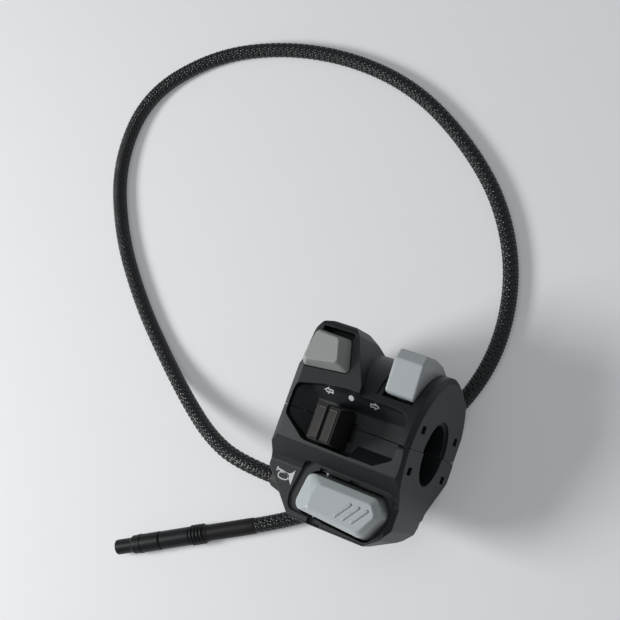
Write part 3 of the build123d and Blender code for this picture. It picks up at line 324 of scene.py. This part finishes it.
def ribbed_pad(left, right):
    """One pad between two places on X, as a grid with its walls. The grid's first and last
    columns meet in the middle of the underside, and so close it."""
    x = np.linspace(left, right, int((right - left) / rib_pitch * rib_samples))
    y = np.linspace(pads_low[1], pads_high[1], pad_rows)
    middle = np.array([(left + right) / 2])
    x = np.concatenate([middle, x[:1], x, x[-1:], middle])
    y = np.concatenate([y[:1], y, y[-1:]])
    x, y = np.meshgrid(x, y, indexing="ij")
    to_side = np.minimum(x - left, right - x)
    to_end = np.minimum(y - pads_low[1], pads_high[1] - y)
    plain = np.clip(to_side / rib_pitch - 1, 0, 1) * np.clip(to_end / rib_pitch - 1, 0, 1)
    ribs = rib_depth * (1 - np.cos(2 * np.pi * (x - left) / rib_pitch)) / 2 * plain
    z = pads_high[2] - ribs - eased_edge(to_side) - eased_edge(to_end)
    z = np.maximum(z, pads_high[2] - 2 * pad_rim)
    z[[0, 1, -2, -1], :] = pads_low[2]
    z[:, [0, -1]] = pads_low[2]
    return np.dstack([x, y, z]).transpose(1, 0, 2)


pads_middle = (pads_low[0] + pads_high[0]) / 2
pad_grids = [
    ribbed_pad(pads_low[0], pads_middle - pads_split / 2),
    ribbed_pad(pads_middle + pads_split / 2, pads_high[0]),
]
pads = grid_mesh("ribbed_pads", pad_grids)
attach(pads, "turn_knob")
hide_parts("knob_pads")
print("pads:", len(pads.data.polygons), "faces")

# %% [markdown]
# ## Ribs on the horn button
#
# Three slanted ribs tell the thumb where the horn button is. Each is a rounded bar, worked out in
# rings: a ring keeps its distance from the bar's middle line, and its height falls along a quarter
# ellipse. The foot goes down into the button's groove, which holds the rib.

# %% Raise the ribs
# Sizes and places of the ribs are in mm.
rib_middle = np.array([11.95, -27.19])
rib_apart = 3.2
rib_lean = np.radians(53.0)
rib_half_run = 3.3
rib_half_width = 0.62
rib_height = 0.42
rib_foot = 0.30
rib_around = 24
ring_shares = np.array([0.02, 0.3, 0.55, 0.75, 0.9, 0.98, 1.0, 1.0, 0.02])


def thumb_rib(middle, level):
    """A rounded bar: x = side * half run + share * half width * cos a, y = share * half width *
    sin a, z = level + height * sqrt(1 - share^2), turned by the lean. The last two rings are the
    foot and close it from below."""
    angle = (np.arange(rib_around) + 0.5)[:, None] * 2 * np.pi / rib_around
    x = np.sign(np.cos(angle)) * rib_half_run + ring_shares * rib_half_width * np.cos(angle)
    y = ring_shares * rib_half_width * np.sin(angle)
    z = level + rib_height * np.sqrt(1 - ring_shares**2) + np.zeros_like(x)
    z[:, -2:] = level - rib_foot
    turned_x = middle[0] + x * np.cos(rib_lean) - y * np.sin(rib_lean)
    turned_y = middle[1] + x * np.sin(rib_lean) + y * np.cos(rib_lean)
    return np.dstack([turned_x, turned_y, z]) * MM


horn_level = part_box("horn_button")[1].z / MM
rib_grids = [thumb_rib(rib_middle + (step * rib_apart, 0.0), horn_level) for step in (-1, 0, 1)]
horn_ribs = grid_mesh("horn_ribs", rib_grids, close_rows=True)
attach(horn_ribs, "horn_button")
print("horn button's top is at", round(horn_level, 2), "mm")

# %% [markdown]
# ## Lip in the seam
#
# The two case halves stand a fifth of a millimetre apart, and a real mould closes such a seam with
# a thin lip, so that no light comes through. It is a flat rounded profile carried along the bar,
# between the halves, on both sides of the bore.

# %% Close the seam
# Sizes of the lip are in mm. Near and far are distances from the bore's middle.
lip_length = 2 * 24.6
lip_near = 11.35
lip_far = 12.75
lip_thickness = 0.18
lip_steps = 40
lip_around = 16


def seam_lip(side):
    """A flat oval profile y = half thickness * sin a, z = side * (middle + half width * cos a),
    swept along x. The end rows close to a point."""
    angle = np.linspace(0, 2 * np.pi, lip_around, endpoint=False)[None, :] * -side
    ends = np.array([0.0] + [1.0] * lip_steps + [0.0])[:, None]
    along = np.linspace(-0.5, 0.5, lip_steps) * lip_length
    x = np.concatenate([along[:1], along, along[-1:]])[:, None] + 0.0 * angle
    y = ends * lip_thickness / 2 * np.sin(angle)
    z = side * ((lip_near + lip_far) / 2 + ends * (lip_far - lip_near) / 2 * np.cos(angle))
    return np.dstack([x, y, z]) * MM


lips = grid_mesh("seam_lips", [seam_lip(side) for side in (-1, 1)], close_columns=True)
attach(lips, "housing")
print("seam lips:", len(lips.data.polygons), "faces")

# %% [markdown]
# ## A moulded finish
#
# Moulded plastic is never quite even. A fine spark-eroded grain scatters the light, and the colour
# drifts a little over the surface. Each finish is one noise for the grain, fed to a Bump node, and
# one broad noise that mixes two near colours. A mould leaves every edge a little round, so a Bevel
# node turns the normals near an edge: widest on the pale keys, which fingers press.

# %% Write the moulded finish
drift_detail = 3.0
grain_detail = 2.0
edge_samples = 8


def moulded(
    name, colour, other, roughness, grain_mm, grain_depth_mm, drift_mm=12.0, edge_mm=0.0,
    specular=0.5, metallic=0.0,
):
    """A Principled material with a fine grain, a slow drift between two colours and, where edge_mm
    is given, edges that look rounded to that radius."""
    material = bpy.data.materials.new(name)
    material.use_nodes = True
    tree = material.node_tree
    shader = tree.nodes["Principled BSDF"]
    coordinates = tree.nodes.new("ShaderNodeTexCoord")
    drift = tree.nodes.new("ShaderNodeTexNoise")
    drift.inputs["Scale"].default_value = 1 / (drift_mm * MM)
    drift.inputs["Detail"].default_value = drift_detail
    mix = tree.nodes.new("ShaderNodeMix")
    mix.data_type = "RGBA"
    mix.inputs["A"].default_value = (*colour, 1.0)
    mix.inputs["B"].default_value = (*other, 1.0)
    grain = tree.nodes.new("ShaderNodeTexNoise")
    grain.inputs["Scale"].default_value = 1 / (grain_mm * MM)
    grain.inputs["Detail"].default_value = grain_detail
    bump = tree.nodes.new("ShaderNodeBump")
    bump.inputs["Distance"].default_value = grain_depth_mm * MM
    bump.inputs["Strength"].default_value = 1.0
    tree.links.new(coordinates.outputs["Object"], drift.inputs["Vector"])
    tree.links.new(coordinates.outputs["Object"], grain.inputs["Vector"])
    tree.links.new(drift.outputs["Fac"], mix.inputs["Factor"])
    tree.links.new(mix.outputs["Result"], shader.inputs["Base Color"])
    tree.links.new(grain.outputs["Fac"], bump.inputs["Height"])
    tree.links.new(bump.outputs["Normal"], shader.inputs["Normal"])
    if edge_mm:
        edge = tree.nodes.new("ShaderNodeBevel")
        edge.samples = edge_samples
        edge.inputs["Radius"].default_value = edge_mm * MM
        tree.links.new(edge.outputs["Normal"], bump.inputs["Normal"])
    shader.inputs["Roughness"].default_value = roughness
    shader.inputs["Specular IOR Level"].default_value = specular
    shader.inputs["Metallic"].default_value = metallic
    return material


finishes = {
    "case_black": moulded(
        "case_grain", (0.012, 0.0155, 0.0165), (0.017, 0.0215, 0.023), roughness=0.46,
        grain_mm=0.35, grain_depth_mm=0.035, edge_mm=0.35, specular=0.40,
    ),
}
print("the case's grain is ready")

# %% [markdown]
# ## Plastics that fingers touch
#
# The keys are a smooth pale plastic with wide soft edges. The slider is darker and warmer than the
# case, and its pads are a little rougher.

# %% Finish the keys and the slider
finishes["key_grey"] = moulded(
    "key_grey", (0.39, 0.42, 0.40), (0.43, 0.46, 0.44), roughness=0.36,
    grain_mm=0.5, grain_depth_mm=0.008, edge_mm=0.6,
)
finishes["button_grey"] = moulded(
    "button_grey", (0.56, 0.61, 0.63), (0.61, 0.66, 0.68), roughness=0.27,
    grain_mm=0.5, grain_depth_mm=0.006, edge_mm=0.8,
)
finishes["slider_black"] = moulded(
    "slider_black", (0.018, 0.016, 0.014), (0.024, 0.021, 0.018), roughness=0.34,
    grain_mm=0.5, grain_depth_mm=0.008, edge_mm=0.3,
)
finishes["pad_black"] = moulded(
    "pad_black", (0.030, 0.027, 0.024), (0.038, 0.034, 0.030), roughness=0.40,
    grain_mm=0.4, grain_depth_mm=0.010,
)
print("finishes so far:", len(finishes))

# %% [markdown]
# ## Parts inside the case
#
# The inside shows only when the case is open. Natural nylon, a green board, black switches, steel
# and brass are told apart by colour, and the metals by the Metallic socket. The nylon is drawn
# greyer than its own pale colour, as painted shade where it shows through the case's seam.

# %% Finish the inside
# The tray's colour is greyer than natural nylon: painted shade, so that it looks dark through the
# seam.
finishes["tray_natural"] = moulded(
    "tray_natural", (0.34, 0.32, 0.28), (0.38, 0.36, 0.32), roughness=0.45,
    grain_mm=0.6, grain_depth_mm=0.010,
)
finishes["switch_black"] = moulded(
    "switch_black", (0.020, 0.020, 0.022), (0.026, 0.026, 0.028), roughness=0.40,
    grain_mm=0.5, grain_depth_mm=0.010,
)
finishes["board_green"] = moulded(
    "board_green", (0.02, 0.12, 0.05), (0.03, 0.15, 0.06), roughness=0.35,
    grain_mm=1.2, grain_depth_mm=0.010,
)
finishes["screw_steel"] = moulded(
    "screw_steel", (0.45, 0.46, 0.47), (0.52, 0.53, 0.54), roughness=0.30,
    grain_mm=0.3, grain_depth_mm=0.006, metallic=1.0,
)
finishes["spring_steel"] = moulded(
    "spring_steel", (0.55, 0.55, 0.55), (0.62, 0.62, 0.62), roughness=0.25,
    grain_mm=0.3, grain_depth_mm=0.004, metallic=1.0,
)
finishes["insert_brass"] = moulded(
    "insert_brass", (0.60, 0.43, 0.17), (0.66, 0.48, 0.20), roughness=0.30,
    grain_mm=0.3, grain_depth_mm=0.006, metallic=1.0,
)
print("finishes so far:", len(finishes))

# %% [markdown]
# ## The cord's finishes
#
# Rubber, heat-shrink sleeve and connector are three blacks that differ in gloss. The woven sleeve
# has a finish of its own: the thin threads of a strand lie side by side, so its bump is a sine
# across the strand's own UV map, drawn a little aslant by the twist.

# %% Finish the cord
def math_step(tree, operation, *values):
    """A Math node's output. Each value is a number or another node's output."""
    step = tree.nodes.new("ShaderNodeMath")
    step.operation = operation
    for socket, value in zip(step.inputs, values):
        if isinstance(value, float):
            socket.default_value = value
        else:
            tree.links.new(value, socket)
    return step.outputs["Value"]


def woven(name, colour, roughness, specular, plies, ply_depth_mm, twist):
    """A strand of parallel threads: the bump is |sin(pi (plies v + twist u))| over the strand's
    own UV, with v across it and u along it in strand widths."""
    material = bpy.data.materials.new(name)
    material.use_nodes = True
    tree = material.node_tree
    shader = tree.nodes["Principled BSDF"]
    coordinates = tree.nodes.new("ShaderNodeTexCoord")
    parts = tree.nodes.new("ShaderNodeSeparateXYZ")
    tree.links.new(coordinates.outputs["UV"], parts.inputs["Vector"])
    along = math_step(tree, "MULTIPLY", parts.outputs["X"], np.pi * twist)
    phase = math_step(tree, "MULTIPLY_ADD", parts.outputs["Y"], np.pi * plies, along)
    height = math_step(tree, "ABSOLUTE", math_step(tree, "SINE", phase))
    bump = tree.nodes.new("ShaderNodeBump")
    bump.inputs["Distance"].default_value = ply_depth_mm * MM
    tree.links.new(height, bump.inputs["Height"])
    tree.links.new(bump.outputs["Normal"], shader.inputs["Normal"])
    shader.inputs["Base Color"].default_value = (*colour, 1.0)
    shader.inputs["Roughness"].default_value = roughness
    shader.inputs["Specular IOR Level"].default_value = specular
    return material


finishes["gland_rubber"] = moulded(
    "gland_rubber", (0.018, 0.018, 0.018), (0.024, 0.024, 0.024), roughness=0.62,
    grain_mm=0.4, grain_depth_mm=0.020,
)
finishes["braid_black"] = moulded(
    "braid_black", (0.012, 0.013, 0.014), (0.020, 0.021, 0.022), roughness=0.28,
    grain_mm=0.2, grain_depth_mm=0.010,
)
finishes["shrink_black"] = moulded(
    "shrink_black", (0.010, 0.010, 0.011), (0.014, 0.014, 0.015), roughness=0.50,
    grain_mm=0.8, grain_depth_mm=0.020, specular=0.22,
)
finishes["connector_black"] = moulded(
    "connector_black", (0.010, 0.011, 0.012), (0.014, 0.015, 0.016), roughness=0.42,
    grain_mm=0.5, grain_depth_mm=0.012, edge_mm=0.2, specular=0.22,
)
braid_threads = woven(
    "braid_threads", (0.004, 0.005, 0.006), roughness=0.20, specular=0.45,
    plies=3, ply_depth_mm=0.012, twist=0.12,
)
print("finishes:", len(finishes) + 1)

# %% [markdown]
# ## Dressing the pieces
#
# A CAD node says in the record which slot it belongs to, and gets the finish of that name. The
# pieces made above get theirs by hand. The cord's core shows only in the gaps of its braid.

# %% Put the finishes on
slot_of_node = {part["node"]: part["material_slot"] for part in frame["record"]["subparts"]}
for name, node in nodes.items():
    for material_slot in node.material_slots:
        material_slot.material = finishes[slot_of_node[name]]
cord.data.materials.append(finishes["braid_black"])
braid.data.materials.append(braid_threads)
pads.data.materials.append(finishes["pad_black"])
horn_ribs.data.materials.append(finishes["button_grey"])
lips.data.materials.append(finishes["case_black"])
print("dressed", len(slot_of_node), "CAD nodes and 5 new pieces")

# %% [markdown]
# ## Return springs
#
# Each key has a return spring under it, which shortens as the key moves. A copy of the CAD
# node's mesh, with the doubled points merged, stands for each spring on the body that carries
# it, and keeps the node's shape.

# %% Copy the springs
# Each row: body, joint, axis, the level that stays and the key's travel there, both in mm.
merge_distance = 1e-6
spring_moves = {
    "knob_spring": ("turn_slider", "turn_cancel", (0, 0, 1), (0, 0, 29.0), 1.6),
    "beam_spring": ("housing", "beam_press", (0, 0, 1), (0, 0, 20.2), 1.8),
    "trigger_spring": ("housing", "pass_pull", (0, 1, 0), (0, 19.45, 0), 1.12),
    "horn_spring": ("housing", "horn_press", (0, 0, 1), (0, 0, 0), 1.1),
}


def merged_copy(node, name):
    """A new piece with the node's mesh, in which points closer than the distance are one."""
    mesh = bpy.data.meshes.new(name)
    work = bmesh.new()
    work.from_mesh(node.data)
    bmesh.ops.remove_doubles(work, verts=work.verts, dist=merge_distance)
    work.to_mesh(mesh)
    work.free()
    return add_piece(name, mesh)


for name, (body, joint, axis, fixed_level, travel) in spring_moves.items():
    spring = merged_copy(nodes[name], name + "_flexed")
    spring.data.materials.append(finishes["spring_steel"])
    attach(spring, body)
    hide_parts(name)
    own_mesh(spring)

# %% [markdown]
# ## Strokes and patches
#
# Two hollow arrows, a dot and a horn tell the rider what each control does. A mark is a stroke of
# even width along a path, or a filled patch between two lines. Both start as flat grids that float
# above the case, with enough rows to follow its curve later.

# %% Draw flat marks
smallest_ring = 0.001
stroke_width = 0.40 * MM
mark_step = 0.15 * MM
mark_lift = 6.0 * MM
sharpest_mitre = 0.4
case_front = max(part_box("upper_case")[1].z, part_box("lower_case")[1].z)


def lifted(flat):
    """Flat points given a third coordinate, well above the case."""
    return np.dstack([flat, np.full(flat.shape[:2], mark_lift + case_front)])


def stroke(corners, closed=False, width=stroke_width):
    """A ribbon along a polyline: each row is the path's point plus and minus half the width along
    the mean normal of its two sides, made longer at corners by the mitre 1 / cos(half turn)."""
    path = np.array(corners) * MM
    if closed:
        path = np.vstack([path, path[:1]])
    runs = np.linalg.norm(np.diff(path, axis=0), axis=1)
    counts = np.maximum(1, (runs / mark_step).astype(int))
    pieces = [
        np.linspace(path[i], path[i + 1], counts[i], endpoint=False) for i in range(len(counts))
    ]
    dense = np.vstack(pieces if closed else pieces + [path[-1:]])
    if closed:
        ahead = unit(np.roll(dense, -1, axis=0) - dense)
        behind = unit(dense - np.roll(dense, 1, axis=0))
    else:
        side = unit(np.diff(dense, axis=0))
        ahead = np.vstack([side, side[-1:]])
        behind = np.vstack([side[:1], side])
    mean = unit(ahead + behind)
    mitre = 1 / np.maximum(sharpest_mitre, np.sum(mean * ahead, axis=1, keepdims=True))
    normal = np.stack([-mean[:, 1], mean[:, 0]], axis=1) * mitre * width / 2
    return lifted(np.stack([dense + normal, dense - normal], axis=1))


def disc(centre_mm, radii, rings=6, around=40):
    """An ellipse of rings whose size grows in even steps. Seen along the slope that it lies on,
    it is round again."""
    angle = np.linspace(0, 2 * np.pi, around, endpoint=False)
    size = np.linspace(smallest_ring, 1.0, rings)
    x = centre_mm[0] * MM + radii[0] * np.cos(angle)[:, None] * size[None, :]
    y = centre_mm[1] * MM + radii[1] * np.sin(angle)[:, None] * size[None, :]
    return lifted(np.stack([x, y], axis=-1))


def between(low_line, high_line, across=4):
    """A filled patch between two lines with the same number of points."""
    low, high = (np.array(line)[:, None, :] * MM for line in (low_line, high_line))
    share = np.linspace(0.0, 1.0, across)[None, :, None]
    return lifted(low + (high - low) * share)


print("marks start", round((mark_lift + case_front) / MM, 1), "mm above the bar's middle")

# %% [markdown]
# ## Arrows and dot
#
# A Shrinkwrap modifier lays a flat mark on the case from above and is then applied, so that the
# mark is a mesh of its own. It stands a few hundredths of a millimetre proud, as pad-printed ink
# does.

# %% Print the arrows and the dot
ink_height = 0.04 * MM
mark_white = moulded(
    "mark_white", (0.80, 0.81, 0.82), (0.76, 0.77, 0.78), roughness=0.55,
    grain_mm=0.3, grain_depth_mm=0.002,
)


def print_on_case(name, grids, closed, target):
    """Lays flat grids on a CAD node from above and keeps the result as the piece's own mesh."""
    flat = grid_mesh(name + "_flat", grids, close_rows=closed)
    wrap = flat.modifiers.new("lay", "SHRINKWRAP")
    wrap.target = nodes[target]
    wrap.wrap_method = "PROJECT"
    wrap.use_project_z = True
    wrap.use_positive_direction = False
    wrap.use_negative_direction = True
    wrap.offset = ink_height
    bpy.context.view_layer.update()
    graph = bpy.context.evaluated_depsgraph_get()
    mesh = bpy.data.meshes.new_from_object(flat.evaluated_get(graph))
    bpy.data.objects.remove(flat)
    mesh.name = name
    mesh.materials.clear()
    mesh.materials.append(mark_white)
    piece = add_piece(name, mesh)
    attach(piece, "housing")
    print(name, "has", len(mesh.polygons), "faces")


# Places and corners of the marks are in mm.
mark_row_y = 9.25
arrow_left_x = -10.75
arrow_right_x = 6.95
dot_x = -2.1
dot_radii = np.array([1.05, 0.85]) * MM
arrow_shape = np.array([
    (-1.6, 0.0), (-0.2, 0.85), (-0.2, 0.4), (1.5, 0.4), (1.5, -0.4), (-0.2, -0.4), (-0.2, -0.85),
])
arrows = [
    stroke(arrow_shape + (arrow_left_x, mark_row_y), closed=True),
    stroke(arrow_shape * (-1, 1) + (arrow_right_x, mark_row_y), closed=True),
]
print_on_case("turn_marks", arrows, True, "upper_case")
print_on_case("centre_mark", [disc((dot_x, mark_row_y), dot_radii)], True, "upper_case")

# %% [markdown]
# ## The horn
#
# The horn is a bugle seen from the side: a ring for its tube, a bell that opens in two soft curves,
# and a short stroke for the mouthpiece. A Catmull-Rom spline runs each curve through a few points.

# %% Print the horn
horn_middle = np.array([-18.4, -24.05])
horn_ring_radii = np.array([2.0, 1.15])
horn_ring_power = 0.75
horn_upper = [
    (-21.4, -22.0), (-19.0, -22.3), (-17.2, -22.6), (-16.2, -22.4), (-15.3, -21.7),
    (-14.65, -20.7),
]
horn_lower = [
    (-21.4, -22.6), (-19.0, -22.9), (-17.2, -23.3), (-16.4, -24.1), (-15.4, -25.2),
    (-14.65, -26.2),
]
horn_mouth = [(-21.4, -21.6), (-21.4, -23.1)]
horn_mouth_width = 0.5 * MM


def bent(corners, steps=8):
    """A smooth line through a few corners: a Catmull-Rom spline, whose tangent at each corner is
    half the way from the corner before to the corner after."""
    corners = np.array(corners)
    padded = np.vstack([2 * corners[0] - corners[1], corners, 2 * corners[-1] - corners[-2]])
    before, start, stop, after = (padded[i : len(padded) - 3 + i, None, :] for i in range(4))
    t = np.linspace(0.0, 1.0, steps, endpoint=False)[None, :, None]
    curve = start + (stop - before) * t / 2
    curve = curve + (2 * before - 5 * start + 4 * stop - after) * t**2 / 2
    curve = curve + (3 * start - before - 3 * stop + after) * t**3 / 2
    return np.vstack([curve.reshape(-1, 2), corners[-1:]])


def squared_ring(middle, radii, power, around=32):
    """An oval with flatter sides: middle + sign * radius * |cos a|^power, and the same with sin."""
    angle = np.linspace(0, 2 * np.pi, around, endpoint=False)
    reach = np.stack([np.cos(angle), np.sin(angle)], axis=1)
    return middle + np.sign(reach) * np.abs(reach) ** power * radii


horn_ring = squared_ring(horn_middle, horn_ring_radii, horn_ring_power)
horn_parts = [
    between(bent(horn_lower), bent(horn_upper)),
    stroke(horn_mouth, width=horn_mouth_width),
]
print_on_case("horn_mark_ring", [stroke(horn_ring, closed=True)], True, "lower_case")
print_on_case("horn_mark", horn_parts, False, "lower_case")

# %% [markdown]
# ## Floor
#
# The cluster lies on a pale table. The floor is wide, so that it fills the picture. Rays that come
# from the camera, straight or by way of a gloss or a glass, see it brighter than it shines, so the
# ground is pale with no more light on the object.

# %% Lay the floor
floor_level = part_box("upper_case")[0].z
floor_half = 2.0
pale_tint = (0.92, 0.95, 1.0, 1.0)
seen_more = 0.20
floor_sides = [-floor_half, floor_half]
floor_grid = np.stack(
    np.meshgrid(floor_sides, floor_sides, [floor_level], indexing="ij"), axis=-1
).reshape(2, 2, 3)
floor = grid_mesh("floor", [floor_grid], smooth=False)
floor_pale = moulded(
    "floor_pale", (0.80, 0.80, 0.80), (0.82, 0.82, 0.82), roughness=0.7,
    grain_mm=3.0, grain_depth_mm=0.01,
)
floor.data.materials.append(floor_pale)


def seen_brighter(tree, socket, base, more):
    """Sets a strength to base, plus more for camera, glossy and transmission rays."""
    path = tree.nodes.new("ShaderNodeLightPath")
    shown = path.outputs["Is Camera Ray"]
    for kind in ("Is Glossy Ray", "Is Transmission Ray"):
        shown = math_step(tree, "MAXIMUM", shown, path.outputs[kind])
    tree.links.new(math_step(tree, "MULTIPLY_ADD", shown, more, base), socket)


floor_shader = floor_pale.node_tree.nodes["Principled BSDF"]
floor_shader.inputs["Emission Color"].default_value = pale_tint
seen_brighter(
    floor_pale.node_tree, floor_shader.inputs["Emission Strength"], base=0.0, more=seen_more
)
print("floor at", round(floor_level / MM, 2), "mm")

# %% [markdown]
# ## Light
#
# A soft lamp at the left gives the light its direction, a weak wide lamp above opens the shadows,
# and the world adds an even pale light. Like the floor, the world is seen brighter than it shines.

# %% Set up the lamps and the world
lamp_aim = np.array([0.0, 0.0, 0.0])
lamp_up = np.array([0.0, 1.0, 0.1])


def soft_lamp(name, place, size, power):
    """A square area lamp that looks from its place to the aim. Its size is in metres and its
    power in watts."""
    data = bpy.data.lights.new(name, "AREA")
    data.shape = "SQUARE"
    data.size = size
    data.energy = power
    lamp = add_piece(name, data)
    lamp.matrix_world = look_matrix(place, place - lamp_aim, lamp_up).T.tolist()


soft_lamp("key_lamp", np.array([-0.63, -0.31, 0.56]), size=0.30, power=5.2)
soft_lamp("top_lamp", np.array([0.0, 0.05, 0.90]), size=0.50, power=0.8)
world = bpy.data.worlds.new("room")
bpy.context.scene.world = world
world.use_nodes = True
backdrop = world.node_tree.nodes["Background"]
backdrop.inputs["Color"].default_value = pale_tint
seen_brighter(world.node_tree, backdrop.inputs["Strength"], base=0.10, more=seen_more)
bpy.context.scene.view_settings.view_transform = "Standard"
print("lamps:", len(bpy.data.lights))
